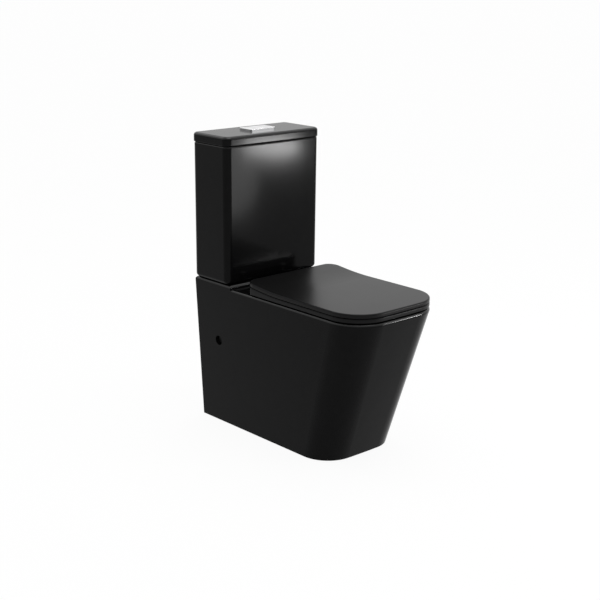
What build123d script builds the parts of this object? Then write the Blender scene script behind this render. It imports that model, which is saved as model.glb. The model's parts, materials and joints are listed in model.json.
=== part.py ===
from build123d import *
import math
import os

os.makedirs("parts", exist_ok=True)

# Overall sizes, in millimetres. Front faces -Y, the wall is the plane y = WALL.
PAN_LENGTH = 658.0
WALL = PAN_LENGTH / 2
PAN_WIDTH = 332.0
RIM_Z = 416.0
RIM_CORNER = 100.0
RIM_BOW = 5.0
RIM_EDGE = 7.0
BASE_LENGTH = 527.0
BASE_WIDTH = 282.0
BASE_CORNER = 85.0
SKIRT_WALL = 13.0
DECK = 18.0
SHELF_Z = 426.0
SHELF_DEPTH = 157.0
SHELF_EDGE = 9.0
SHELF_THICK = 17.5
OVERALL_Z = 840.0

# Fits between pieces.
SEAT_GAP = 0.15
MOVE_GAP = 0.4
TIGHT_GAP = 0.1
THREAD_GAP = 0.15
SNUG_GAP = 0.2
LOOSE_GAP = 0.3

# Bowl, trap and outlet.
BOWL_Y = -107.0
BOWL_HALF_WIDTH = 122.0
BOWL_HALF_LENGTH = 177.0
BOWL_WALL = 11.0
SUMP_Y = -22.0
SUMP_Z = 62.0
TRAP_BORE = 31.0
TRAP_WALL = 11.0
TRAP_Z = 96.0
TRAP_START = 8.0
TRAP_RUN = 78.0
TRAP_INNER_BEND = 13.0
WEIR_RUN = 158.0
WEIR_Z = 226.0
OUTLET_Z = 185.0
SPIGOT_R = 51.0
SPIGOT_BORE = 38.0
SPIGOT_SETBACK = 30.0
SPIGOT_LENGTH = 62.0
DUCT_BORE = 26.0
DUCT_WALL = 11.0
DUCT_Z = 370.0
DUCT_INNER_BEND = 1.0
DUCT_REACH = 22.0
DUCT_FALL = 4.0
MOUTH_EDGE = 7.0
ACCESS_R = 14.0
ACCESS_SETBACK = 92.0
ACCESS_Z = 251.0

# Cistern.
TANK_TOP_WIDTH = 344.0
TANK_TAPER = 3.0
TANK_FOOT_WIDTH = TANK_TOP_WIDTH - TANK_TAPER
TANK_DEPTH = 154.0
BACK_TRIM = 0.5
TANK_BOW = 3.0
TANK_CORNER = 18.0
TANK_TOP_EDGE = 5.0
TANK_FOOT_EDGE = 11.0
TANK_WALL = 11.0
TANK_FLOOR = 15.0
PAD = 1.0
PAD_WIDTH = 10.0
PAD_LENGTH = 76.0
PAD_SETBACK = 18.0
TANK_Z = SHELF_Z + PAD
LID_HEIGHT = 26.0
LID_OVERHANG = 1.5
LID_PLATE = 13.0
LID_TOP_EDGE = 8.5
LID_LOW_EDGE = 2.5
LID_Z = OVERALL_Z - LID_HEIGHT
TANK_TOP = LID_Z - MOVE_GAP
LIP_DROP = 9.0
LIP_WALL = 6.0
LIP_GAP = 2.0
WALL_SCREW_SPACING = 200.0
WALL_SCREW_R = 5.0
WALL_SCREW_Z = 740.0

# Flush valve, on the centre line.
VALVE_SETBACK = 82.0
VALVE_Y = WALL - VALVE_SETBACK
FLOOR_Z = TANK_Z + TANK_FLOOR
VALVE_BORE = 26.0
TAIL_R = 31.0
TAIL_HOLE_R = 32.5
TAIL_DROP = 20.0
FLANGE_R = 42.0
WASHER = 3.0
NUT_FLATS = 70.0
NUT_THICK = 10.0
CUP_R = 48.0
CUP_DEPTH = 27.0
CUP_FLOOR = 14.0
BOSS_R = 60.0
DOUGHNUT_GAP = 0.5
DOUGHNUT_NUT_GAP = 0.6
FLANGE_THICK = 6.0
VALVE_SEAT_RISE = 14.0
VALVE_SEAT_WALL = 4.0
CAGE_Z = 528.0
CAGE_RING = 8.0
PILLAR_THICK = 3.4
PILLAR_WIDTH = 10.0
TOWER_TOP = 690.0
TOWER_R = 40.0
TOWER_WALL = 3.5
SLOT_WIDTH = 18.0
SLOT_FOOT = 30.0
SLOT_HEAD = 40.0
CAP_THICK = 6.0
CAP_LAP = 2.0
CAP_PLUG = 5.0
CAP_PLUG_INSET = 3.0
TUBE_R = 13.0
TUBE_WALL = 2.0
TUBE_TOP = 745.0
TUBE_FOOT = 8.0
DISC_THICK = 4.0
DISC_LAP = 5.0
SEAL = 3.0
SEAL_LAP = 6.0

# Rocker lever between the full flush rod and the overflow tube.
ROCKER_Z = 712.0
ROCKER_PIVOT = 19.0
ROCKER_THICK = 5.0
ROCKER_PIN_R = 2.0
ROCKER_SPAN = 19.0
ROCKER_ARM = 4.5
ROCKER_PAD = 12.0
ROCKER_PAD_END = 5.0
LUG_R = 4.0
LUG_THICK = 4.0
COLLAR_R = 20.0
COLLAR_THICK = 4.0

# Buttons.
BUTTON_SETBACK = 79.0
BUTTON_Y = WALL - BUTTON_SETBACK
BEZEL_WIDTH = 92.0
BEZEL_DEPTH = 51.0
BEZEL_HEIGHT = 6.4
BEZEL_CORNER = 5.0
BEZEL_EDGE = 1.2
BEZEL_LAP = 3.5
KEY_HEIGHT = 6.9
KEY_BODY = 13.0
KEY_CORNER = 1.8
KEY_EDGE = 1.0
TUB_WALL = 2.0
TUB_DROP = 28.0
TUB_FLOOR = 2.5
TUB_CORNER = 3.5
TUB_INNER_CORNER = 2.0
TUB_HOLE_GAP = 0.5
CLAMP = 9.0
CLAMP_LAP = 7.0
CLAMP_CORNER = 6.0
ROD_R = 3.0
FULL_ROD_X = 36.0
HALF_ROD_X = -30.0

# Coupling bolts.
BOLT_X = BOSS_R + 16.0
BOLT_R = 4.0
BOLT_HOLE_R = 5.5
BOLT_HEAD = 6.0
BOLT_FLATS = 13.0
BOLT_DROP = 24.0
BOLT_WASHER_R = 13.0
PLATE_WASHER = 2.0
PLATE_WASHER_R = 12.0
WING_NUT = 10.0
WING_NUT_R = 9.0
WING_SPAN = 15.0
WING_THICK = 4.0
WING_SHOULDER = 3.0
WING_DROP = 14.0

# Fill valve.
FILL_SETBACK = 48.0
FILL_WALL_SETBACK = 78.0
FILL_X = TANK_TOP_WIDTH / 2 - FILL_SETBACK
FILL_Y = WALL - FILL_WALL_SETBACK
FILL_TAIL_R = 10.4
FILL_SHANK_R = 10.7
FILL_TAIL_Z = 383.0
FILL_SHANK_DROP = 12.0
FILL_SHANK_GAP = 1.0
FILL_FLANGE_R = 16.0
FILL_FLANGE = 5.0
FILL_HOLE_R = 22.0
FILL_NUT = 9.0
FILL_NUT_FLATS = 32.0
FILL_HEAD_Z = 690.0
FILL_HEAD = 30.0
FILL_HEAD_R = 19.0
FILL_HEAD_EDGE = 2.0
FILL_COLLAR = 8.0
FILL_COLLAR_R = 14.0
EAR_MID = 7.5
EAR_THICK = 3.0
FLOAT_Z = 585.0
FLOAT_HEIGHT = 62.0
FLOAT_R = 29.0
FLOAT_EDGE = 3.0
FLOAT_WALL = 2.5
FLOAT_ROOF = 3.0
FLOAT_CORE = 3.0
FLOAT_ARM = 53.0
FLOAT_LUG = 6.0
FLOAT_LUG_DROP = 6.0
FLOAT_LUG_WIDTH = 10.0
LINK_R = 2.5
LINK_COLLAR_R = 5.0
LINK_TAIL = 2.0
RISER_R = 11.0
RISER_BORE = 7.0
RISER_ROOF = 6.0
LEVER_Z = 730.0
LEVER_PIVOT = 8.0
LEVER_WIDTH = 10.0
LEVER_THICK = 5.0
LEVER_TIP = 6.0

# Seat, measured from the rim upwards.
SEAT_INSET = 1.0
SEAT_WIDTH = PAN_WIDTH - 2 * SEAT_INSET
SEAT_SETBACK = 219.0
SEAT_FRONT = -WALL + 2 * SEAT_INSET
SEAT_REAR = WALL - SEAT_SETBACK
SEAT_CORNER = 97.0
SEAT_REAR_CORNER = 34.0
RING_SETBACK = 19.0
RING_REAR_CORNER = 6.0
SEAT_BOW = 5.0
BUMPER = 3.5
RING_THICK = 11.0
RING_TOP_EDGE = 3.0
RING_LOW_EDGE = 1.5
LID_GAP = 1.6
LID_THICK = 11.0
SEAT_LID_TOP_EDGE = 4.0
SEAT_LID_LOW_EDGE = 1.5
RING_Z = RIM_Z + BUMPER
RING_TOP = RING_Z + RING_THICK
SWEEP_LENGTH = 155.0
SWEEP_START = SEAT_REAR - SWEEP_LENGTH
SWEEP_RISE = 11.5
SWEEP_SLOPE = 0.11
OPENING_Y = -112.0
OPENING_HALF_WIDTH = 110.0
OPENING_HALF_LENGTH = 150.0

# Seat hinges.
HINGE_X = 77.5
HINGE_SETBACK = 205.0
HINGE_Y = WALL - HINGE_SETBACK
HINGE_Z = 434.0
HINGE_BOLT_SETBACK = 186.0
HINGE_BOLT_Y = WALL - HINGE_BOLT_SETBACK
KNUCKLE_R = 9.0
KNUCKLE_LENGTH = 14.0
KNUCKLE_GAP = 1.0
KNUCKLE_ROOT = 8.0
PIN_R = 4.0
POST_WIDTH = 15.0
POST_DEPTH = 14.0
PLATE_R = 21.0
PLATE_THICK = 3.0
PLATE_TONGUE = 16.0
HINGE_HOLE_R = 7.5
HINGE_BOLT_R = 3.0
HINGE_HEAD = 2.5
HINGE_BOLT_DROP = 16.0
HINGE_NUT = 12.0
HINGE_NUT_FLATS = 14.0
HINGE_NUT_FLANGE = 3.0
HINGE_NUT_R = 13.0
HINGE_CAP_R = 10.5
HINGE_CAP_WALL = 2.0
HINGE_CAP_ROOM = 1.0

# Wall brackets behind the access holes.
BRACKET_THICK = 11.0
BRACKET_LENGTH = 118.0
BRACKET_HEIGHT = 46.0
BRACKET_PILOT_R = 3.0

# Bumpers.
BUMPER_WIDTH = 14.0
BUMPER_LENGTH = 30.0
BUMPER_INSET = 22.0
BUMPER_FRONT = 95.0
BUMPER_REAR = 330.0
DOT_R = 5.0
DOT_FRONT = 135.0
DOT_REAR = 17.0


def block(x0, x1, y0, y1, z0, z1):
    """Box between two corners."""
    middle = Pos((x0 + x1) / 2, (y0 + y1) / 2, (z0 + z1) / 2)
    return middle * Box(x1 - x0, y1 - y0, z1 - z0)


def rod(x, y, z0, z1, radius):
    """Upright cylinder between two heights."""
    return Pos(x, y, (z0 + z1) / 2) * Cylinder(radius, z1 - z0)


def pipe(x, y, z0, z1, radius, bore):
    """Upright tube between two heights."""
    return rod(x, y, z0, z1, radius) - rod(x, y, z0 - 1, z1 + 1, bore)


def rod_x(x0, x1, y, z, radius):
    """Cylinder along X between two ends."""
    return Pos((x0 + x1) / 2, y, z) * Rot(0, 90, 0) * Cylinder(radius, x1 - x0)


def rod_y(x, y0, y1, z, radius):
    """Cylinder along Y between two ends."""
    return Pos(x, (y0 + y1) / 2, z) * Rot(90, 0, 0) * Cylinder(radius, y1 - y0)


def hexagon(x, y, z0, z1, flats):
    """Upright hexagonal prism between two heights."""
    face = RegularPolygon(flats / 2, 6, major_radius=False)
    return Pos(x, y, z0) * extrude(face, z1 - z0)


def outline(width, front, rear, corner, bow):
    """Flat outline with rounded front corners and a slightly bowed front edge."""
    half = width / 2
    left = Line((-half, front + bow), (-half, rear))
    back = Line((-half, rear), (half, rear))
    right = Line((half, rear), (half, front + bow))
    nose = ThreePointArc((half, front + bow), (0, front), (-half, front + bow))
    face = make_face([left, back, right, nose])
    return fillet(face.vertices().group_by(Axis.Y)[0], corner)


def overreach():
    """How far the sharp rim line stands out past its rounded edge at the front."""
    lean = math.atan2(PAN_LENGTH - BASE_LENGTH, RIM_Z)
    return RIM_EDGE * (1 / math.tan((math.pi / 2 - lean) / 2) - 1)


def skirt(inset, z0, z1, rear):
    """Tapered body of the pan, reduced by inset, between two heights."""
    faces = []
    for z in (z0, z1):
        share = z / RIM_Z
        width = BASE_WIDTH + (PAN_WIDTH - BASE_WIDTH) * share - 2 * inset
        front = WALL - BASE_LENGTH - (PAN_LENGTH + overreach() - BASE_LENGTH) * share + inset
        corner = BASE_CORNER + (RIM_CORNER - BASE_CORNER) * share - inset
        faces.append(Pos(0, 0, z) * outline(width, front, rear, corner, RIM_BOW))
    return loft(faces, ruled=True)


def bowl(grow, top, bottom):
    """Bowl shape, enlarged by grow, from the rim opening down to the sump."""
    shares = (0.0, 0.33, 0.68, 1.0)
    widths = (1.0, 0.86, 0.6, 0.36)
    lengths = (1.0, 0.83, 0.52, 0.29)
    faces = []
    for share, wide, long in zip(shares, widths, lengths):
        z = top + (bottom - top) * share
        y = BOWL_Y + (SUMP_Y - BOWL_Y) * share
        face = Ellipse(BOWL_HALF_WIDTH * wide + grow, BOWL_HALF_LENGTH * long + grow)
        faces.append(Pos(0, y, z) * face)
    return loft(faces)


def bent_pipe(points, bend, radius):
    """Round bar along a bent path in the middle plane."""
    path = FilletPolyline(*[(0, y, z) for y, z in points], radius=bend)
    start = Plane(path @ 0, z_dir=path % 0)
    return sweep(start * Circle(radius), path=path)


def save(name, shape):
    """Write one named piece or group of equal pieces."""
    export_step(shape, "parts/" + name + ".step")


def both(make):
    """The same piece on the left and on the right."""
    return make(-1) + make(1)


def prism(points, x0, x1):
    """Flat side profile given as (y, z) points, drawn out along X."""
    face = Plane.YZ * make_face(Polyline(*points, close=True))
    return Pos(x0, 0, 0) * extrude(face, x1 - x0)


# Pan: tapered skirt, raised rear shelf, hollow body open below and behind.
behind = WALL + 5
skirt_body = skirt(0, 0, RIM_Z, behind)
rim_edges = [e for e in skirt_body.edges().group_by(Axis.Z)[-1] if e.center().Y < behind - 1]
skirt_body = fillet(rim_edges, RIM_EDGE)
shelf_front = WALL - SHELF_DEPTH
shelf = skirt(0, RIM_Z - DECK, SHELF_Z, behind)
shelf &= block(-PAN_WIDTH, PAN_WIDTH, shelf_front, WALL, 0, 2 * SHELF_Z)
shelf = fillet(shelf.edges().group_by(Axis.Z)[-1], SHELF_EDGE)
skirt_body &= block(-PAN_WIDTH, PAN_WIDTH, -PAN_LENGTH, WALL, -1, 2 * SHELF_Z)
envelope = skirt_body + shelf
cavity = skirt(SKIRT_WALL, -1, RIM_Z - DECK, WALL + 20)
pocket_half = PAN_WIDTH / 2 - SKIRT_WALL
pocket_top = SHELF_Z - SHELF_THICK
pocket = block(-pocket_half, pocket_half, shelf_front + SKIRT_WALL, WALL + 20, RIM_Z - DECK - 1, pocket_top)
spigot_y1 = WALL - SPIGOT_SETBACK
spigot_y0 = spigot_y1 - SPIGOT_LENGTH
trap_path = [(SUMP_Y - TRAP_START, TRAP_Z), (SUMP_Y + TRAP_RUN, TRAP_Z), (SUMP_Y + WEIR_RUN, WEIR_Z)]
trap_path.append((spigot_y0 + 4, OUTLET_Z))
trap_r = TRAP_BORE + TRAP_WALL
trap_bend = trap_r + TRAP_INNER_BEND
duct_path = [(VALVE_Y, SHELF_Z - 4), (VALVE_Y, DUCT_Z)]
duct_path.append((BOWL_Y + BOWL_HALF_LENGTH - DUCT_REACH, DUCT_Z - DUCT_FALL))
duct_r = DUCT_BORE + DUCT_WALL
duct_bend = duct_r + DUCT_INNER_BEND
inner = bowl(BOWL_WALL, RIM_Z - 1, SUMP_Z - BOWL_WALL)
inner += bent_pipe(trap_path, trap_bend, trap_r)
inner += rod_y(0, spigot_y0, spigot_y1, OUTLET_Z, SPIGOT_R)
inner += bent_pipe(duct_path, duct_bend, duct_r)
inner += rod(0, VALVE_Y, SHELF_Z - CUP_DEPTH - CUP_FLOOR, SHELF_Z - 8, BOSS_R)
pan = envelope - cavity - pocket
pan += inner & envelope
pan -= bowl(0, RIM_Z, SUMP_Z)
pan -= Pos(0, BOWL_Y, RIM_Z) * extrude(Ellipse(BOWL_HALF_WIDTH, BOWL_HALF_LENGTH), DECK)
pan -= bent_pipe(trap_path, trap_bend, TRAP_BORE)
pan -= rod_y(0, spigot_y0 + 1, spigot_y1 + 1, OUTLET_Z, SPIGOT_BORE)
pan -= bent_pipe(duct_path, duct_bend, DUCT_BORE)
pan -= rod(0, VALVE_Y, SHELF_Z - CUP_DEPTH, SHELF_Z + 1, CUP_R)
for side in (-1, 1):
    wall_x = side * (PAN_WIDTH / 2 - SKIRT_WALL / 2)
    pan -= rod_x(wall_x - 2 * SKIRT_WALL, wall_x + 2 * SKIRT_WALL, WALL - ACCESS_SETBACK, ACCESS_Z, ACCESS_R)
    pan -= rod(side * HINGE_X, HINGE_BOLT_Y, RIM_Z - DECK - 1, RIM_Z + 1, HINGE_HOLE_R)
    pan -= rod(side * BOLT_X, VALVE_Y, pocket_top - 1, SHELF_Z + 1, BOLT_HOLE_R)
pan -= rod(FILL_X, FILL_Y, pocket_top - 1, SHELF_Z + 1, FILL_HOLE_R)
mouth = []
for edge in pan.edges():
    ends = [edge.position_at(share) for share in (0, 0.37, 1)]
    level = max(abs(p.Z - RIM_Z) for p in ends) < 0.05
    off = [(p.X / BOWL_HALF_WIDTH) ** 2 + ((p.Y - BOWL_Y) / BOWL_HALF_LENGTH) ** 2 - 1 for p in ends]
    if level and max(abs(value) for value in off) < 0.05:
        mouth.append(edge)
pan = fillet(mouth, MOUTH_EDGE)
save("pan", pan)


def tank_face(width, inset, z):
    """Level section of the tank, reduced by inset."""
    corner = max(TANK_CORNER - inset / 2, 5)
    face = outline(width - 2 * inset, WALL - TANK_DEPTH + inset, WALL - inset + BACK_TRIM, corner, TANK_BOW)
    return Pos(0, 0, z) * fillet(face.vertices().group_by(Axis.Y)[-1], corner)


def top_edges(shape):
    """Edges round the highest level face."""
    return shape.faces().sort_by(Axis.Z)[-1].edges()


def low_edges(shape):
    """Edges round the lowest level face."""
    return shape.faces().sort_by(Axis.Z)[0].edges()


# Tank: tapered box with a rounded foot, open at the top.
tank = loft([tank_face(TANK_FOOT_WIDTH, 0, TANK_Z), tank_face(TANK_TOP_WIDTH, 0, TANK_TOP)], ruled=True)
tank = fillet(low_edges(tank), TANK_FOOT_EDGE)
tank = fillet(top_edges(tank), TANK_TOP_EDGE)
tank &= block(-TANK_TOP_WIDTH, TANK_TOP_WIDTH, -WALL, WALL, TANK_Z - 1, TANK_TOP + 1)
room = [tank_face(TANK_FOOT_WIDTH, TANK_WALL, FLOOR_Z), tank_face(TANK_TOP_WIDTH, TANK_WALL, TANK_TOP + 1)]
tank -= loft(room, ruled=True)
tank -= rod(0, VALVE_Y, TANK_Z - 1, FLOOR_Z + 1, TAIL_HOLE_R)
tank -= rod(FILL_X, FILL_Y, TANK_Z - 1, FLOOR_Z + 1, FILL_SHANK_R + FILL_SHANK_GAP)
for side in (-1, 1):
    tank -= rod(side * BOLT_X, VALVE_Y, TANK_Z - 1, FLOOR_Z + 1, BOLT_HOLE_R)
    screw_x = side * WALL_SCREW_SPACING / 2
    tank -= rod_y(screw_x, WALL - TANK_WALL - 5, WALL + 1, WALL_SCREW_Z, WALL_SCREW_R)
save("cistern_tank", tank)

# Lid of the tank: plate with a deep rim and a lip that drops inside the tank.
lid_face = tank_face(TANK_TOP_WIDTH, -LID_OVERHANG, LID_Z)
lid_face = lid_face & block(-TANK_TOP_WIDTH, TANK_TOP_WIDTH, -WALL, WALL, LID_Z - 1, LID_Z + 1)
lid = extrude(lid_face, LID_HEIGHT)
lid = fillet(top_edges(lid), LID_TOP_EDGE)
lid = fillet(low_edges(lid), LID_LOW_EDGE)
lid_room = LID_HEIGHT - LID_PLATE
lip_inset = TANK_WALL + LIP_GAP
lid -= extrude(tank_face(TANK_TOP_WIDTH, lip_inset + 1, LID_Z - 1), lid_room + 1)
lip = extrude(tank_face(TANK_TOP_WIDTH, lip_inset, LID_Z - LIP_DROP), lid_room + LIP_DROP)
lip_core = tank_face(TANK_TOP_WIDTH, lip_inset + LIP_WALL, LID_Z - LIP_DROP - 1)
lip -= extrude(lip_core, lid_room + LIP_DROP + 1)
lid += lip
tub_width = BEZEL_WIDTH - 2 * BEZEL_LAP
tub_depth = BEZEL_DEPTH - 2 * BEZEL_LAP
hole_width = tub_width + 2 * TUB_HOLE_GAP
hole_depth = tub_depth + 2 * TUB_HOLE_GAP
lid_hole = RectangleRounded(hole_width, hole_depth, TUB_CORNER + TUB_HOLE_GAP)
lid -= Pos(0, BUTTON_Y, LID_Z) * extrude(lid_hole, LID_HEIGHT + 1)
save("cistern_lid", lid)

# Pads between the shelf and the tank.
def shelf_pad(side):
    """Thin rubber strip near one end of the tank."""
    x = side * (TANK_FOOT_WIDTH / 2 - PAD_SETBACK)
    low = SHELF_Z + SEAT_GAP / 2
    return Pos(x, VALVE_Y, low) * extrude(Rectangle(PAD_WIDTH, PAD_LENGTH), PAD - SEAT_GAP)


save("shelf_pads", both(shelf_pad))

# Coupling between the tank and the pan.
seal_low = SHELF_Z - CUP_DEPTH + SEAT_GAP
nut_corner = NUT_FLATS / 2 / math.cos(math.pi / 6)
seal_bore = nut_corner + DOUGHNUT_NUT_GAP
save("doughnut_seal", pipe(0, VALVE_Y, seal_low, TANK_Z - SEAT_GAP, CUP_R - DOUGHNUT_GAP, seal_bore))
bolt_head_z = FLOOR_Z + WASHER + 2 * SEAT_GAP


def coupling_bolt(side):
    """Bolt with a hexagon head inside the tank."""
    x = side * BOLT_X
    bolt = hexagon(x, VALVE_Y, bolt_head_z, bolt_head_z + BOLT_HEAD, BOLT_FLATS)
    return bolt + rod(x, VALVE_Y, pocket_top - BOLT_DROP, bolt_head_z + 1, BOLT_R)


def coupling_washer(side):
    """Thick rubber washer under the bolt head."""
    low = FLOOR_Z + SEAT_GAP
    return pipe(side * BOLT_X, VALVE_Y, low, low + WASHER, BOLT_WASHER_R, BOLT_R + SNUG_GAP)


def coupling_plate(side):
    """Plate washer under the shelf."""
    low = pocket_top - SEAT_GAP - PLATE_WASHER
    return pipe(side * BOLT_X, VALVE_Y, low, low + PLATE_WASHER, PLATE_WASHER_R, BOLT_R + LOOSE_GAP)


def wing_nut(side):
    """Nut with two wings."""
    x = side * BOLT_X
    top = pocket_top - 2 * SEAT_GAP - PLATE_WASHER
    half = WING_THICK / 2
    nut = rod(x, VALVE_Y, top - WING_NUT, top, WING_NUT_R)
    nut += block(x - WING_SPAN, x + WING_SPAN, VALVE_Y - half, VALVE_Y + half,
                 top - WING_DROP, top - WING_SHOULDER)
    return nut - rod(x, VALVE_Y, top - WING_DROP - 1, top + 1, BOLT_R + TIGHT_GAP)


save("coupling_bolts", both(coupling_bolt))
save("coupling_washers", both(coupling_washer))
save("coupling_plates", both(coupling_plate))
save("coupling_nuts", both(wing_nut))

# Flush valve base: tail through the floor, sealing seat, four pillars and a ring.
flange_z = FLOOR_Z + WASHER + 2 * SEAT_GAP
seat_z = flange_z + VALVE_SEAT_RISE
base = pipe(0, VALVE_Y, flange_z, flange_z + FLANGE_THICK, FLANGE_R, VALVE_BORE)
base += pipe(0, VALVE_Y, TANK_Z - TAIL_DROP, flange_z + 1, TAIL_R, VALVE_BORE)
base += pipe(0, VALVE_Y, flange_z, seat_z, VALVE_BORE + VALVE_SEAT_WALL, VALVE_BORE)
base += pipe(0, VALVE_Y, CAGE_Z - CAGE_RING, CAGE_Z, TOWER_R, TOWER_R - TOWER_WALL)
pillar_x = TOWER_R - TOWER_WALL / 2
pillar = block(pillar_x - PILLAR_THICK / 2, pillar_x + PILLAR_THICK / 2, -PILLAR_WIDTH / 2, PILLAR_WIDTH / 2,
               flange_z + 1, CAGE_Z - 1)
for turn in range(4):
    base += Pos(0, VALVE_Y, 0) * Rot(0, 0, 45 + 90 * turn) * pillar
save("flush_valve_base", base)
washer_z = FLOOR_Z + SEAT_GAP
save("flush_base_washer", pipe(0, VALVE_Y, washer_z, washer_z + WASHER, FLANGE_R, TAIL_R + LOOSE_GAP))
back_nut = hexagon(0, VALVE_Y, TANK_Z - SEAT_GAP - NUT_THICK, TANK_Z - SEAT_GAP, NUT_FLATS)
back_nut -= rod(0, VALVE_Y, TANK_Z - 2 * NUT_THICK, TANK_Z + 1, TAIL_R + THREAD_GAP)
save("flush_back_nut", back_nut)

# Tower with slots, and its cap with the lugs that carry the rocker.
tower = pipe(0, VALVE_Y, CAGE_Z + SEAT_GAP, TOWER_TOP, TOWER_R, TOWER_R - TOWER_WALL)
slot = block(TOWER_R / 2, 2 * TOWER_R, -SLOT_WIDTH / 2, SLOT_WIDTH / 2,
             CAGE_Z + SLOT_FOOT, TOWER_TOP - SLOT_HEAD)
for turn in range(3):
    tower -= Pos(0, VALVE_Y, 0) * Rot(0, 0, 30 + 120 * turn) * slot
save("flush_tower", tower)
cap_low = TOWER_TOP + SEAT_GAP
cap_top = cap_low + CAP_THICK
plug_r = TOWER_R - TOWER_WALL
cap = pipe(0, VALVE_Y, cap_low, cap_top, TOWER_R + CAP_LAP, TUBE_R + MOVE_GAP)
cap += pipe(0, VALVE_Y, cap_low - CAP_PLUG, cap_low + 1, plug_r - LOOSE_GAP, plug_r - CAP_PLUG_INSET)
lug_y = ROCKER_SPAN + MOVE_GAP + LOOSE_GAP
lug_end = lug_y + LUG_THICK
for side in (-1, 1):
    near, far = sorted((VALVE_Y + side * lug_y, VALVE_Y + side * lug_end))
    cap += block(ROCKER_PIVOT - LUG_R, ROCKER_PIVOT + LUG_R, near, far, cap_top - 1, ROCKER_Z)
    cap += rod_y(ROCKER_PIVOT, near, far, ROCKER_Z, LUG_R)
cap -= rod_y(ROCKER_PIVOT, VALVE_Y - TOWER_R, VALVE_Y + TOWER_R, ROCKER_Z, ROCKER_PIN_R + THREAD_GAP)
cap -= rod(HALF_ROD_X, BUTTON_Y, cap_low - CAP_PLUG - 1, cap_top + 1, ROD_R + MOVE_GAP)
save("tower_cap", cap)
pin_end = lug_end + 1
save("rocker_pin", rod_y(ROCKER_PIVOT, VALVE_Y - pin_end, VALVE_Y + pin_end, ROCKER_Z, ROCKER_PIN_R))

# Piston: overflow tube with the sealing disc at its foot and a collar for the rocker.
seal_z = seat_z + MOVE_GAP
disc_z = seal_z + SEAL + SEAT_GAP
collar_z = ROCKER_Z + ROCKER_THICK / 2 + MOVE_GAP
piston = pipe(0, VALVE_Y, seal_z - TUBE_FOOT, TUBE_TOP, TUBE_R, TUBE_R - TUBE_WALL)
piston += pipe(0, VALVE_Y, disc_z, disc_z + DISC_THICK, VALVE_BORE + DISC_LAP, TUBE_R - TUBE_WALL / 4)
piston += pipe(0, VALVE_Y, collar_z, collar_z + COLLAR_THICK, COLLAR_R, TUBE_R - TUBE_WALL / 4)
save("flush_piston", piston)
save("flush_seal", pipe(0, VALVE_Y, seal_z, seal_z + SEAL, VALVE_BORE + SEAL_LAP, TUBE_R + SNUG_GAP))

# Rocker: fork under the collar on one side, pad under the full flush rod on the other.
rocker_low = ROCKER_Z - ROCKER_THICK / 2
rocker_top = ROCKER_Z + ROCKER_THICK / 2
rocker = block(ROCKER_PIVOT - LUG_R + MOVE_GAP, ROCKER_PIVOT + LUG_R,
               VALVE_Y - ROCKER_SPAN, VALVE_Y + ROCKER_SPAN, rocker_low, rocker_top)
for side in (-1, 1):
    near, far = sorted((VALVE_Y + side * (ROCKER_SPAN - ROCKER_ARM), VALVE_Y + side * ROCKER_SPAN))
    rocker += block(0, ROCKER_PIVOT, near, far, rocker_low, rocker_top)
rocker += block(ROCKER_PIVOT, FULL_ROD_X + ROCKER_PAD_END,
                BUTTON_Y - ROCKER_PAD / 2, BUTTON_Y + ROCKER_PAD / 2, rocker_low, rocker_top)
rocker -= rod_y(ROCKER_PIVOT, VALVE_Y - TOWER_R, VALVE_Y + TOWER_R, ROCKER_Z, ROCKER_PIN_R + MOVE_GAP)
save("rocker_lever", rocker)

# Button unit: bezel with a tub through the lid, clamp frame, two keys and two rods.
bezel_low = OVERALL_Z + SEAT_GAP
bezel_top = OVERALL_Z + BEZEL_HEIGHT
tub_low = OVERALL_Z - TUB_DROP
key_depth = tub_depth - 2 * TUB_WALL - 2 * MOVE_GAP
key_width = (tub_width - 2 * TUB_WALL - 4 * MOVE_GAP) / 2
key_x = key_width / 2 + MOVE_GAP


def tile(width, depth, corner, x, z0, z1):
    """Upright rounded rectangular bar on the button's centre line."""
    return Pos(x, BUTTON_Y, z0) * extrude(RectangleRounded(width, depth, corner), z1 - z0)


bezel = tile(BEZEL_WIDTH, BEZEL_DEPTH, BEZEL_CORNER, 0, bezel_low, bezel_top)
bezel = fillet(top_edges(bezel), BEZEL_EDGE)
bezel += tile(tub_width, tub_depth, TUB_CORNER, 0, tub_low, bezel_low + 1)
bezel -= tile(tub_width - 2 * TUB_WALL, tub_depth - 2 * TUB_WALL, TUB_INNER_CORNER, 0, tub_low + TUB_FLOOR,
              bezel_top + 1)
for x in (FULL_ROD_X, HALF_ROD_X):
    bezel -= rod(x, BUTTON_Y, tub_low - 1, tub_low + TUB_FLOOR + 1, ROD_R + MOVE_GAP)
save("button_bezel", bezel)
clamp_top = OVERALL_Z - LID_PLATE - SEAT_GAP
clamp = tile(tub_width + 2 * CLAMP_LAP, tub_depth + 2 * CLAMP_LAP, CLAMP_CORNER, 0,
             clamp_top - CLAMP, clamp_top)
clamp -= tile(tub_width + 2 * SEAT_GAP, tub_depth + 2 * SEAT_GAP, TUB_CORNER + TIGHT_GAP, 0,
              clamp_top - CLAMP - 1, clamp_top + 1)
save("button_clamp", clamp)
key_top = OVERALL_Z + KEY_HEIGHT
for name, side in (("full_flush", 1), ("half_flush", -1)):
    key = tile(key_width, key_depth, KEY_CORNER, side * key_x, key_top - KEY_BODY, key_top)
    save(name + "_button", fillet(top_edges(key), KEY_EDGE))
rod_top = key_top - KEY_BODY - SEAT_GAP
for name, x, foot in (("full_flush", FULL_ROD_X, collar_z), ("half_flush", HALF_ROD_X, cap_low - 1)):
    bar = rod(x, BUTTON_Y, foot, rod_top, ROD_R)
    save(name + "_rod", fillet(low_edges(bar), ROD_R * 0.8))

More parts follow.
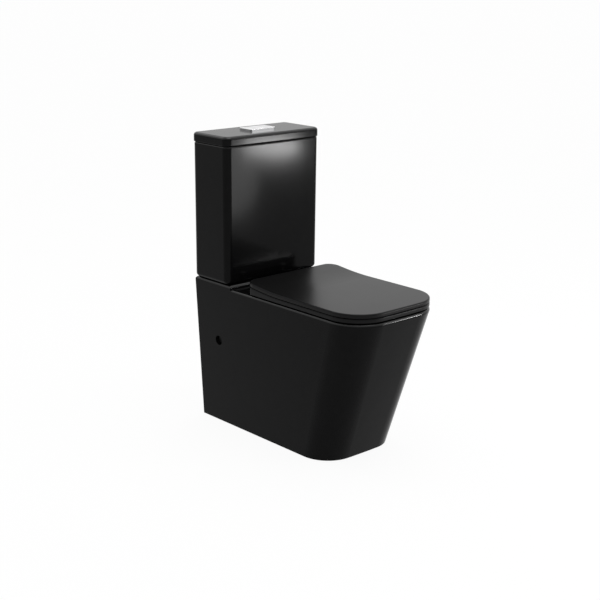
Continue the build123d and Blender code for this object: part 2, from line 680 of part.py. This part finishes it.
# Fill valve: riser through the floor, head, float on the riser, lever over the float's link.
riser_flange = FLOOR_Z + WASHER + 2 * SEAT_GAP
riser = rod(FILL_X, FILL_Y, riser_flange, FILL_HEAD_Z, RISER_R)
riser += rod(FILL_X, FILL_Y, riser_flange, riser_flange + FILL_FLANGE, FILL_FLANGE_R)
riser += rod(FILL_X, FILL_Y, TANK_Z - FILL_SHANK_DROP, riser_flange + 1, FILL_SHANK_R)
riser += rod(FILL_X, FILL_Y, FILL_TAIL_Z, TANK_Z - FILL_SHANK_DROP + 1, FILL_TAIL_R)
riser -= rod(FILL_X, FILL_Y, FILL_TAIL_Z - 1, FILL_HEAD_Z - RISER_ROOF, RISER_BORE)
save("fill_riser", riser)
fill_washer = pipe(FILL_X, FILL_Y, washer_z, washer_z + WASHER, FILL_FLANGE_R, FILL_SHANK_R + LOOSE_GAP)
save("fill_washer", fill_washer)
fill_nut = hexagon(FILL_X, FILL_Y, TANK_Z - SEAT_GAP - FILL_NUT, TANK_Z - SEAT_GAP, FILL_NUT_FLATS)
fill_nut -= rod(FILL_X, FILL_Y, TANK_Z - 2 * FILL_NUT, TANK_Z + 1, FILL_SHANK_R + THREAD_GAP)
save("fill_nut", fill_nut)
head_low = FILL_HEAD_Z + SEAT_GAP
head = rod(FILL_X, FILL_Y, head_low, head_low + FILL_HEAD, FILL_HEAD_R)
head = fillet(top_edges(head), FILL_HEAD_EDGE)
head += pipe(FILL_X, FILL_Y, head_low - FILL_COLLAR, head_low + 1, FILL_COLLAR_R, RISER_R + SNUG_GAP)
pivot_x = FILL_X + LEVER_PIVOT
ear_foot = head_low + FILL_HEAD - FILL_HEAD_EDGE
ear_end = EAR_MID + EAR_THICK / 2
for side in (-1, 1):
    near, far = sorted((FILL_Y + side * (ear_end - EAR_THICK), FILL_Y + side * ear_end))
    ear = block(pivot_x - LUG_R, pivot_x + LUG_R, near, far, ear_foot, LEVER_Z)
    head += ear + rod_y(pivot_x, near, far, LEVER_Z, LUG_R)
head -= rod_y(pivot_x, FILL_Y - 2 * ear_end, FILL_Y + 2 * ear_end, LEVER_Z, ROCKER_PIN_R + THREAD_GAP)
save("fill_head", head)
save("fill_lever_pin", rod_y(pivot_x, FILL_Y - ear_end - 2, FILL_Y + ear_end + 2, LEVER_Z, ROCKER_PIN_R))
link_x = pivot_x - FLOAT_ARM
lever_low = LEVER_Z - LEVER_THICK / 2
lever_y0 = FILL_Y - LEVER_WIDTH / 2
lever_y1 = FILL_Y + LEVER_WIDTH / 2
lever = block(link_x - LEVER_TIP, pivot_x, lever_y0, lever_y1, lever_low, lever_low + LEVER_THICK)
lever += rod_y(pivot_x, lever_y0, lever_y1, LEVER_Z, LUG_R)
save("fill_lever", lever - rod_y(pivot_x, lever_y0 - 1, lever_y1 + 1, LEVER_Z, ROCKER_PIN_R + MOVE_GAP))
float_top = FLOAT_Z + FLOAT_HEIGHT
lug_top = float_top - FLOAT_LUG_DROP
lug_low = lug_top - FLOAT_LUG
lug_half = FLOAT_LUG_WIDTH / 2
cup = rod(FILL_X, FILL_Y, FLOAT_Z, float_top, FLOAT_R)
cup = fillet(top_edges(cup), FLOAT_EDGE)
cup -= pipe(FILL_X, FILL_Y, FLOAT_Z - 1, float_top - FLOAT_ROOF, FLOAT_R - FLOAT_WALL, RISER_R + FLOAT_CORE)
cup -= rod(FILL_X, FILL_Y, FLOAT_Z - 1, float_top + 1, RISER_R + MOVE_GAP)
cup += block(link_x - lug_half, FILL_X - FLOAT_R + 4, FILL_Y - lug_half, FILL_Y + lug_half, lug_low, lug_top)
cup -= rod(link_x, FILL_Y, lug_low - 1, lug_top + 1, LINK_R + SNUG_GAP)
save("fill_float", cup)
link = rod(link_x, FILL_Y, lug_low - LINK_TAIL, lever_low - MOVE_GAP, LINK_R)
link += rod(link_x, FILL_Y, lug_top + SEAT_GAP, lug_top + FLOAT_LUG / 2, LINK_COLLAR_R)
save("float_link", link)


def lifted(z):
    """Upper side profile line at height z, level at the front and lifting to the rear."""
    rear_z = z + SWEEP_RISE
    line = Line((SEAT_FRONT - 10, z), (SWEEP_START, z))
    curve = Spline((SWEEP_START, z), (SEAT_REAR, rear_z), tangents=((1, 0), (1, SWEEP_SLOPE)))
    tail = Line((SEAT_REAR, rear_z), (SEAT_REAR + 20, rear_z + 20 * SWEEP_SLOPE))
    return [line, curve, tail]


def side_body(lower, upper):
    """Solid between two side profile lines, wider than the seat."""
    front = Line(lower[0] @ 0, upper[0] @ 0)
    rear = Line(lower[-1] @ 1, upper[-1] @ 1)
    face = Plane.YZ * make_face([*lower, rear, *upper, front])
    return extrude(face, SEAT_WIDTH, both=True)


def seat_outline(rear, rear_corner):
    """Seat outline drawn upwards from the floor, well past the seat."""
    face = outline(SEAT_WIDTH, SEAT_FRONT, rear, SEAT_CORNER, SEAT_BOW)
    face = fillet(face.vertices().group_by(Axis.Y)[-1], rear_corner)
    return extrude(face, OVERALL_Z)


def facing(shape, way):
    """Edges of the faces that look up (way 1) or down (way -1), without the joints between them."""
    found = []
    for face in shape.faces():
        if way * face.normal_at(face.center()).Z > 0.9:
            for edge in face.edges():
                middle = edge.center()
                if abs(middle.Y - SWEEP_START) > 0.5 or abs(middle.X) > 1:
                    found.append(edge)
    return found


# Seat ring.
ring_floor = [Line((SEAT_FRONT - 10, RING_Z), (SEAT_REAR + 20, RING_Z))]
ring_rear_y = SEAT_REAR - RING_SETBACK
ring = seat_outline(ring_rear_y, RING_REAR_CORNER)
ring &= side_body(ring_floor, lifted(RING_TOP))
ring -= Pos(0, OPENING_Y, RING_Z - 5) * extrude(Ellipse(OPENING_HALF_WIDTH, OPENING_HALF_LENGTH), RIM_Z)
ring = fillet(facing(ring, 1), RING_TOP_EDGE)
ring = fillet(facing(ring, -1), RING_LOW_EDGE)
ring_rear = RING_TOP + SWEEP_RISE - RING_SETBACK * SWEEP_SLOPE
knuckle_start = POST_WIDTH / 2 + KNUCKLE_GAP
ring_x = HINGE_X + knuckle_start
ear_root = ring_rear_y - KNUCKLE_ROOT
ear_points = [(ear_root, RING_Z + 6), (HINGE_Y, HINGE_Z - KNUCKLE_R + 0.1)]
ear_points += [(HINGE_Y, HINGE_Z + KNUCKLE_R - 0.1), (ear_root, ring_rear - 4)]


def knuckle(side, inner_x, points):
    """Hinge knuckle with its web, on one side."""
    x0 = min(side * inner_x, side * (inner_x + KNUCKLE_LENGTH))
    web = prism(points, x0, x0 + KNUCKLE_LENGTH)
    return web + rod_x(x0, x0 + KNUCKLE_LENGTH, HINGE_Y, HINGE_Z, KNUCKLE_R)


pin_hole = rod_x(-SEAT_WIDTH, SEAT_WIDTH, HINGE_Y, HINGE_Z, PIN_R + MOVE_GAP)
for side in (-1, 1):
    ring += knuckle(side, ring_x, ear_points)
save("seat_ring", ring - pin_hole)

# Seat lid: plate of even thickness over the ring.
lid_low = RING_TOP + LID_GAP
seat_lid = seat_outline(SEAT_REAR, SEAT_REAR_CORNER)
seat_lid &= side_body(lifted(lid_low), lifted(lid_low + LID_THICK))
seat_lid = fillet(facing(seat_lid, 1), SEAT_LID_TOP_EDGE)
seat_lid = fillet(facing(seat_lid, -1), SEAT_LID_LOW_EDGE)
rear_low = lid_low + SWEEP_RISE
web_root = SEAT_REAR - KNUCKLE_ROOT
web_points = [(web_root, rear_low + 2), (SEAT_REAR + 1.5, rear_low + 1.5), (HINGE_Y - 8, HINGE_Z + 1)]
web_points += [(HINGE_Y, HINGE_Z), (HINGE_Y + 6, HINGE_Z + 6), (web_root, rear_low + LID_THICK - 3)]
lid_x = HINGE_X - knuckle_start - KNUCKLE_LENGTH
for side in (-1, 1):
    seat_lid += knuckle(side, lid_x, web_points)
save("seat_lid", seat_lid - pin_hole)

# Rubber bumpers under the ring and under the lid.
ring_pads = []
lid_pads = []
pad_height = BUMPER - MOVE_GAP - SEAT_GAP / 3
dot_height = LID_GAP - MOVE_GAP - SEAT_GAP / 3
pad_face = RectangleRounded(BUMPER_WIDTH, BUMPER_LENGTH, BUMPER_WIDTH / 4)
for side in (-1, 1):
    x = side * (SEAT_WIDTH / 2 - BUMPER_INSET)
    for y in (SEAT_FRONT + BUMPER_FRONT, SEAT_FRONT + BUMPER_REAR):
        ring_pads.append(Pos(x, y, RIM_Z + MOVE_GAP) * extrude(pad_face, pad_height))
    for y in (SEAT_FRONT + DOT_FRONT, SWEEP_START - DOT_REAR):
        lid_pads.append(Pos(x, y, RING_TOP + MOVE_GAP) * extrude(Circle(DOT_R), dot_height))
save("ring_bumpers", Part() + ring_pads)
save("lid_bumpers", Part() + lid_pads)

# Hinges: base plate, post, pin, cap, bolt, bush and nut on each side.
plate_low = RIM_Z + SEAT_GAP
plate_top = plate_low + PLATE_THICK
post_low = plate_top + SEAT_GAP


def hinge_plate(side):
    """Base plate on the deck, with a hole for the bolt."""
    x = side * HINGE_X
    plate = rod(x, HINGE_BOLT_Y, plate_low, plate_top, PLATE_R)
    half = PLATE_TONGUE / 2
    plate += block(x - half, x + half, HINGE_Y - half, HINGE_BOLT_Y, plate_low, plate_top)
    return plate - rod(x, HINGE_BOLT_Y, plate_low - 1, plate_top + 1, HINGE_BOLT_R + MOVE_GAP)


def hinge_post(side):
    """Post with the fixed barrel of the hinge."""
    x0 = side * HINGE_X - POST_WIDTH / 2
    x1 = x0 + POST_WIDTH
    post = block(x0, x1, HINGE_Y - POST_DEPTH / 2, HINGE_Y + POST_DEPTH / 2, post_low, HINGE_Z)
    post += rod_x(x0, x1, HINGE_Y, HINGE_Z, KNUCKLE_R)
    return post - rod_x(x0 - 1, x1 + 1, HINGE_Y, HINGE_Z, PIN_R + TIGHT_GAP)


def hinge_pin(side):
    """Pin through the barrel and both knuckles."""
    x = side * HINGE_X
    half = knuckle_start + KNUCKLE_LENGTH
    return rod_x(x - half, x + half, HINGE_Y, HINGE_Z, PIN_R)


def hinge_cap(side):
    """Cover over the bolt head."""
    x = side * HINGE_X
    room = plate_top + SEAT_GAP + HINGE_HEAD + HINGE_CAP_ROOM
    cover = rod(x, HINGE_BOLT_Y, plate_top + SEAT_GAP, room + HINGE_CAP_WALL, HINGE_CAP_R)
    cover = fillet(top_edges(cover), HINGE_CAP_WALL)
    return cover - rod(x, HINGE_BOLT_Y, plate_top, room, HINGE_CAP_R - HINGE_CAP_WALL)


def hinge_bolt(side):
    """Bolt down through the plate and the deck."""
    x = side * HINGE_X
    bolt = rod(x, HINGE_BOLT_Y, RIM_Z - DECK - HINGE_BOLT_DROP, plate_top + 1, HINGE_BOLT_R)
    head_z = plate_top + SEAT_GAP
    return bolt + rod(x, HINGE_BOLT_Y, head_z, head_z + HINGE_HEAD, 2 * HINGE_BOLT_R)


def hinge_bush(side):
    """Sleeve that centres the bolt in the deck hole."""
    x = side * HINGE_X
    return pipe(x, HINGE_BOLT_Y, RIM_Z - DECK, RIM_Z, HINGE_HOLE_R - SNUG_GAP, HINGE_BOLT_R + SNUG_GAP)


def hinge_nut(side):
    """Broad nut under the deck."""
    x = side * HINGE_X
    top = RIM_Z - DECK - SEAT_GAP
    nut = rod(x, HINGE_BOLT_Y, top - HINGE_NUT_FLANGE, top, HINGE_NUT_R)
    nut += hexagon(x, HINGE_BOLT_Y, top - HINGE_NUT, top - HINGE_NUT_FLANGE + 1, HINGE_NUT_FLATS)
    return nut - rod(x, HINGE_BOLT_Y, top - HINGE_NUT - 1, top + 1, HINGE_BOLT_R + THREAD_GAP)


save("hinge_plates", both(hinge_plate))
save("hinge_posts", both(hinge_post))
save("hinge_pins", both(hinge_pin))
save("hinge_caps", both(hinge_cap))
save("hinge_bolts", both(hinge_bolt))
save("hinge_bushes", both(hinge_bush))
save("hinge_nuts", both(hinge_nut))

# Brackets inside the skirt, behind the access holes.
bracket_shell = skirt(SKIRT_WALL + SEAT_GAP, 0, RIM_Z, WALL)
bracket_shell -= skirt(SKIRT_WALL + BRACKET_THICK, -1, RIM_Z + 1, WALL + 1)
bracket_y0 = WALL - BRACKET_LENGTH
bracket_z0 = ACCESS_Z - BRACKET_HEIGHT / 2


def wall_bracket(side):
    """Block along the inner side of the skirt with a pilot hole at the access hole."""
    x0 = min(0, side * PAN_WIDTH)
    zone = block(x0, x0 + PAN_WIDTH, bracket_y0, WALL, bracket_z0, bracket_z0 + BRACKET_HEIGHT)
    pilot = rod_x(-PAN_WIDTH, PAN_WIDTH, WALL - ACCESS_SETBACK, ACCESS_Z, BRACKET_PILOT_R)
    return (bracket_shell & zone) - pilot


save("wall_brackets", both(wall_bracket))
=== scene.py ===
import json
import math

import bpy
from mathutils import Matrix, Vector

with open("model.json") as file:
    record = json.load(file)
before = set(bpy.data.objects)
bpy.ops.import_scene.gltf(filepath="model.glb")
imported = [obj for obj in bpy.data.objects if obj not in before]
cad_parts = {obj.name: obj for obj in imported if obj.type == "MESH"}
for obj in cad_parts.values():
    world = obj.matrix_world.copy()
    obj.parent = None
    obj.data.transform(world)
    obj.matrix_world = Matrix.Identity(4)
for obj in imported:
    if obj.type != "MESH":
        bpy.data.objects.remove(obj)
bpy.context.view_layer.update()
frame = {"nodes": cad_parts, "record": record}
scene = bpy.context.scene
nodes = frame["nodes"]

# Noise: the part of its range that is used, and the part over which a tint changes
NOISE_LOW = 0.3
NOISE_HIGH = 0.7
TINT_LOW = 0.32
TINT_HIGH = 0.68

# Depth of the surface relief, in metres, and the change of roughness over a surface
GLAZE_RIPPLE = 0.0008
PLASTIC_GRAIN = 0.0002
METAL_SCRATCH = 0.0001
GLAZE_POLISH_CHANGE = 0.006
PLASTIC_POLISH_CHANGE = 0.05

# Upward part of a normal, and the share of the edge's gloss there: none on level and upright faces
EDGE_BAND = ((0.0, 0.0), (0.12, 0.0), (0.3, 1.0), (0.85, 1.0), (0.97, 0.0), (1.0, 0.0))

# Camera at the photograph's place and angle: degrees, metres and photograph pixels
CAMERA_AZIMUTH = -42.53
CAMERA_ELEVATION = 15.75
CAMERA_ROLL = 0.59
CAMERA_DISTANCE = 3.4344
CAMERA_TARGET = Vector((0.01286, 0.079, 0.37375))
FOCAL_PIXELS = 1211.86
PHOTO_PIXELS = 600
SENSOR_WIDTH = 36.0

# Floor: half its side and its drop below the object in metres, its share of plain white, its matt surface
FLOOR_REACH = 150.0
FLOOR_DROP = 0.0005
FLOOR_WHITE = 0.93
FLOOR_ROUGHNESS = 0.9
FLOOR_SPECULAR = 0.1
FLOOR_DARK = 0.93
FLOOR_LIGHT = 0.95

# Room: middle of its bright ring, brightness from the far side (0) to that middle (1), and strength
ROOM_AXIS = Vector((0.35, 0.5, 0.79)).normalized()
ROOM_LEVELS = ((0.0, 0.15), (0.5, 0.3), (0.8, 0.45), (0.86, 0.56), (0.92, 1.0), (0.97, 0.65), (1.0, 0.55))
ROOM_STRENGTH = 1.6

# Points that the lamps aim at, in metres
TANK_FRONT = Vector((0.0, 0.175, 0.8))
TANK_LEFT = Vector((-0.15, 0.175, 0.7))
BOWL = Vector((0.0, 0.0, 0.4))


def grey(level):
    """Grey tone of one level."""
    return level, level, level


def fill_ramp(ramp, steps):
    """Set a new colour ramp to pairs of position and colour, in order."""
    first, *inner, last = steps
    for element, (position, colour) in zip(ramp.elements, (first, last)):
        element.position = position
        element.color = (*colour, 1)
    for position, colour in inner:
        ramp.elements.new(position).color = (*colour, 1)


def new_material(name):
    """An empty node material with one Principled shader wired to the output."""
    mat = bpy.data.materials.new(name)
    mat.use_nodes = True
    tree = mat.node_tree
    tree.nodes.clear()
    out = tree.nodes.new("ShaderNodeOutputMaterial")
    shader = tree.nodes.new("ShaderNodeBsdfPrincipled")
    tree.links.new(shader.outputs["BSDF"], out.inputs["Surface"])
    return mat, tree, shader


def noise(tree, scale, detail):
    """Noise in object space, so that it stays on the surface."""
    coord = tree.nodes.new("ShaderNodeTexCoord")
    texture = tree.nodes.new("ShaderNodeTexNoise")
    texture.inputs["Scale"].default_value = scale
    texture.inputs["Detail"].default_value = detail
    tree.links.new(coord.outputs["Object"], texture.inputs["Vector"])
    return texture.outputs["Fac"]


def spread(tree, fac, low, high):
    """Noise value stretched between two numbers."""
    node = tree.nodes.new("ShaderNodeMapRange")
    node.inputs["From Min"].default_value = NOISE_LOW
    node.inputs["From Max"].default_value = NOISE_HIGH
    node.inputs["To Min"].default_value = low
    node.inputs["To Max"].default_value = high
    tree.links.new(fac, node.inputs["Value"])
    return node.outputs["Result"]


def tint(tree, fac, dark, light):
    """Colour between two tones, by noise."""
    node = tree.nodes.new("ShaderNodeValToRGB")
    fill_ramp(node.color_ramp, ((TINT_LOW, dark), (TINT_HIGH, light)))
    tree.links.new(fac, node.inputs["Fac"])
    return node.outputs["Color"]


def bump(tree, shader, fac, strength, distance):
    """Fine surface relief."""
    node = tree.nodes.new("ShaderNodeBump")
    node.inputs["Strength"].default_value = strength
    node.inputs["Distance"].default_value = distance
    tree.links.new(fac, node.inputs["Height"])
    tree.links.new(node.outputs["Normal"], shader.inputs["Normal"])


def edge_gloss(tree, flat, edge):
    """Index of the skin: higher on the roundings, whose normals lie between level and upright."""
    coord = tree.nodes.new("ShaderNodeTexCoord")
    split = tree.nodes.new("ShaderNodeSeparateXYZ")
    tree.links.new(coord.outputs["Normal"], split.inputs["Vector"])
    band = tree.nodes.new("ShaderNodeValToRGB")
    fill_ramp(band.color_ramp, [(upward, grey(share)) for upward, share in EDGE_BAND])
    tree.links.new(split.outputs["Z"], band.inputs["Fac"])
    index = tree.nodes.new("ShaderNodeMapRange")
    index.inputs["To Min"].default_value = flat
    index.inputs["To Max"].default_value = edge
    tree.links.new(band.outputs["Color"], index.inputs["Value"])
    return index.outputs["Result"]


def glaze(name, dark, light, rough, wave, ior, edge_ior):
    """Black satin skin with a slow ripple, faint changes of tone and polish, and glossier roundings."""
    mat, tree, shader = new_material(name)
    colour = tint(tree, noise(tree, scale=38, detail=4), dark, light)
    tree.links.new(colour, shader.inputs["Base Color"])
    low, high = rough - GLAZE_POLISH_CHANGE, rough + GLAZE_POLISH_CHANGE
    tree.links.new(spread(tree, noise(tree, scale=9, detail=3), low, high), shader.inputs["Roughness"])
    bump(tree, shader, noise(tree, scale=14, detail=2), wave, GLAZE_RIPPLE)
    tree.links.new(edge_gloss(tree, ior, edge_ior), shader.inputs["IOR"])
    return mat


def plastic(name, dark, light, rough, grain):
    """Moulded plastic with a fine spark-eroded grain."""
    mat, tree, shader = new_material(name)
    colour = tint(tree, noise(tree, scale=60, detail=3), dark, light)
    tree.links.new(colour, shader.inputs["Base Color"])
    low, high = rough - PLASTIC_POLISH_CHANGE, rough + PLASTIC_POLISH_CHANGE
    tree.links.new(spread(tree, noise(tree, scale=120, detail=2), low, high), shader.inputs["Roughness"])
    bump(tree, shader, noise(tree, scale=900, detail=2), grain, PLASTIC_GRAIN)
    return mat


def metal(name, dark, light, low, high, scale, relief):
    """Bare or plated metal, with a slight change of polish."""
    mat, tree, shader = new_material(name)
    colour = tint(tree, noise(tree, scale=30, detail=2), dark, light)
    tree.links.new(colour, shader.inputs["Base Color"])
    tree.links.new(spread(tree, noise(tree, scale, detail=3), low, high), shader.inputs["Roughness"])
    bump(tree, shader, noise(tree, scale * 3, detail=2), relief, METAL_SCRATCH)
    shader.inputs["Metallic"].default_value = 1.0
    return mat


# Materials, by the record's slots
looks = {
    "black_glaze": glaze("black_glaze", dark=(0.0028, 0.0028, 0.0029), light=(0.0036, 0.0036, 0.0037),
                         rough=0.13, wave=0.012, ior=1.145, edge_ior=1.5),
    "black_seat": glaze("black_seat", dark=(0.0046, 0.0046, 0.0047), light=(0.0056, 0.0056, 0.0057),
                        rough=0.32, wave=0.012, ior=1.2, edge_ior=1.22),
    "chrome_plate": metal("chrome", dark=(0.78, 0.78, 0.79), light=(0.84, 0.84, 0.85),
                          low=0.05, high=0.07, scale=60, relief=0.0005),
    "steel": metal("steel", dark=(0.42, 0.42, 0.42), light=(0.55, 0.55, 0.54),
                   low=0.28, high=0.42, scale=160, relief=0.08),
    "black_plastic": plastic("black_plastic", dark=grey(0.006), light=grey(0.009), rough=0.6, grain=0.15),
    "grey_rubber": plastic("rubber", dark=grey(0.018), light=grey(0.03), rough=0.75, grain=0.25),
    "white_plastic": plastic("white_plastic", dark=(0.72, 0.72, 0.69), light=(0.8, 0.8, 0.77),
                             rough=0.42, grain=0.12),
    "blue_plastic": plastic("blue_plastic", dark=(0.05, 0.14, 0.36), light=(0.07, 0.18, 0.42),
                            rough=0.4, grain=0.12),
    "grey_plastic": plastic("grey_plastic", dark=(0.16, 0.165, 0.175), light=(0.2, 0.205, 0.215),
                            rough=0.45, grain=0.12),
}
slot_of = {entry["node"]: entry["material_slot"] for entry in frame["record"]["subparts"]}
for name, obj in nodes.items():
    obj.data.materials.clear()
    obj.data.materials.append(looks[slot_of[name]])


# Camera
azimuth = math.radians(CAMERA_AZIMUTH)
elevation = math.radians(CAMERA_ELEVATION)
roll = math.radians(CAMERA_ROLL)
back = Vector((math.sin(azimuth) * math.cos(elevation), -math.cos(azimuth) * math.cos(elevation),
               math.sin(elevation)))
level = Vector((math.cos(azimuth), math.sin(azimuth), 0))
above = back.cross(level)
right = level * math.cos(roll) + above * math.sin(roll)
up = above * math.cos(roll) - level * math.sin(roll)
turn = Matrix((right, up, back)).transposed().to_4x4()
camera = bpy.data.objects.new("camera", bpy.data.cameras.new("camera"))
camera.matrix_world = Matrix.Translation(CAMERA_TARGET + back * CAMERA_DISTANCE) @ turn
camera.data.sensor_width = SENSOR_WIDTH
camera.data.lens = FOCAL_PIXELS / PHOTO_PIXELS * SENSOR_WIDTH
scene.collection.objects.link(camera)
scene.camera = camera


# Floor: mostly plain white to the camera and in reflections, matt paper to all other light
corners = [(x * FLOOR_REACH, y * FLOOR_REACH, 0) for x, y in ((-1, -1), (1, -1), (1, 1), (-1, 1))]
floor_mesh = bpy.data.meshes.new("floor")
floor_mesh.from_pydata(corners, [], [(0, 1, 2, 3)])
floor = bpy.data.objects.new("floor", floor_mesh)
floor.location.z = -FLOOR_DROP
scene.collection.objects.link(floor)
floor_mat, floor_tree, floor_shader = new_material("floor")
floor_shader.inputs["Roughness"].default_value = FLOOR_ROUGHNESS
floor_shader.inputs["Specular IOR Level"].default_value = FLOOR_SPECULAR
floor_colour = tint(floor_tree, noise(floor_tree, scale=3, detail=3), grey(FLOOR_DARK), grey(FLOOR_LIGHT))
floor_tree.links.new(floor_colour, floor_shader.inputs["Base Color"])
plain_white = floor_tree.nodes.new("ShaderNodeEmission")
plain_white.inputs["Strength"].default_value = 1.0
rays = floor_tree.nodes.new("ShaderNodeLightPath")
seen = rays.outputs["Is Camera Ray"]
for kind in ("Is Glossy Ray", "Is Transmission Ray"):
    either = floor_tree.nodes.new("ShaderNodeMath")
    either.operation = "MAXIMUM"
    floor_tree.links.new(seen, either.inputs[0])
    floor_tree.links.new(rays.outputs[kind], either.inputs[1])
    seen = either.outputs["Value"]
share = floor_tree.nodes.new("ShaderNodeMath")
share.operation = "MULTIPLY"
share.inputs[1].default_value = FLOOR_WHITE
floor_tree.links.new(seen, share.inputs[0])
floor_mix = floor_tree.nodes.new("ShaderNodeMixShader")
floor_tree.links.new(share.outputs["Value"], floor_mix.inputs["Fac"])
floor_tree.links.new(floor_shader.outputs["BSDF"], floor_mix.inputs[1])
floor_tree.links.new(plain_white.outputs["Emission"], floor_mix.inputs[2])
floor_out = next(node for node in floor_tree.nodes if node.type == "OUTPUT_MATERIAL")
floor_tree.links.new(floor_mix.outputs["Shader"], floor_out.inputs["Surface"])
floor_mesh.materials.append(floor_mat)


# Room light: bright above and behind to the right, dimmer in front and to the left
world = bpy.data.worlds.new("studio")
scene.world = world
world.use_nodes = True
room = world.node_tree
room.nodes.clear()
room_out = room.nodes.new("ShaderNodeOutputWorld")
background = room.nodes.new("ShaderNodeBackground")
background.inputs["Strength"].default_value = ROOM_STRENGTH
direction = room.nodes.new("ShaderNodeTexCoord")
axis = room.nodes.new("ShaderNodeVectorMath")
axis.operation = "DOT_PRODUCT"
axis.inputs[1].default_value = ROOM_AXIS
room.links.new(direction.outputs["Generated"], axis.inputs[0])
toward = room.nodes.new("ShaderNodeMapRange")
toward.inputs["From Min"].default_value = -1.0
toward.inputs["From Max"].default_value = 1.0
room.links.new(axis.outputs["Value"], toward.inputs["Value"])
shade = room.nodes.new("ShaderNodeValToRGB")
fill_ramp(shade.color_ramp, [(position, grey(brightness)) for position, brightness in ROOM_LEVELS])
room.links.new(toward.outputs["Result"], shade.inputs["Fac"])
room.links.new(shade.outputs["Color"], background.inputs["Color"])
room.links.new(background.outputs["Background"], room_out.inputs["Surface"])


def softbox(name, place, aim, width, height, power):
    """Oval soft light at a place, turned to a point: metres and watts."""
    data = bpy.data.lights.new(name, "AREA")
    data.shape = "ELLIPSE"
    data.size = width
    data.size_y = height
    data.energy = power
    lamp = bpy.data.objects.new(name, data)
    lamp.location = place
    lamp.rotation_euler = (aim - Vector(place)).to_track_quat("-Z", "Y").to_euler()
    scene.collection.objects.link(lamp)


softbox("key", place=(1.65, -1.74, 0.424), aim=TANK_FRONT, width=0.52, height=0.078, power=11.5)
softbox("side", place=(1.64, -1.75, 0.7), aim=TANK_FRONT, width=0.5, height=0.3, power=3.2)
softbox("fill", place=(1.64, -1.75, 1.4), aim=TANK_FRONT, width=0.6, height=0.6, power=1.6)
softbox("left", place=(1.35, -1.95, 0.26), aim=TANK_LEFT, width=0.46, height=0.38, power=4.0)
softbox("top", place=(0.2, -0.4, 3.2), aim=BOWL, width=2.4, height=2.4, power=24)

scene.view_settings.view_transform = "Standard"
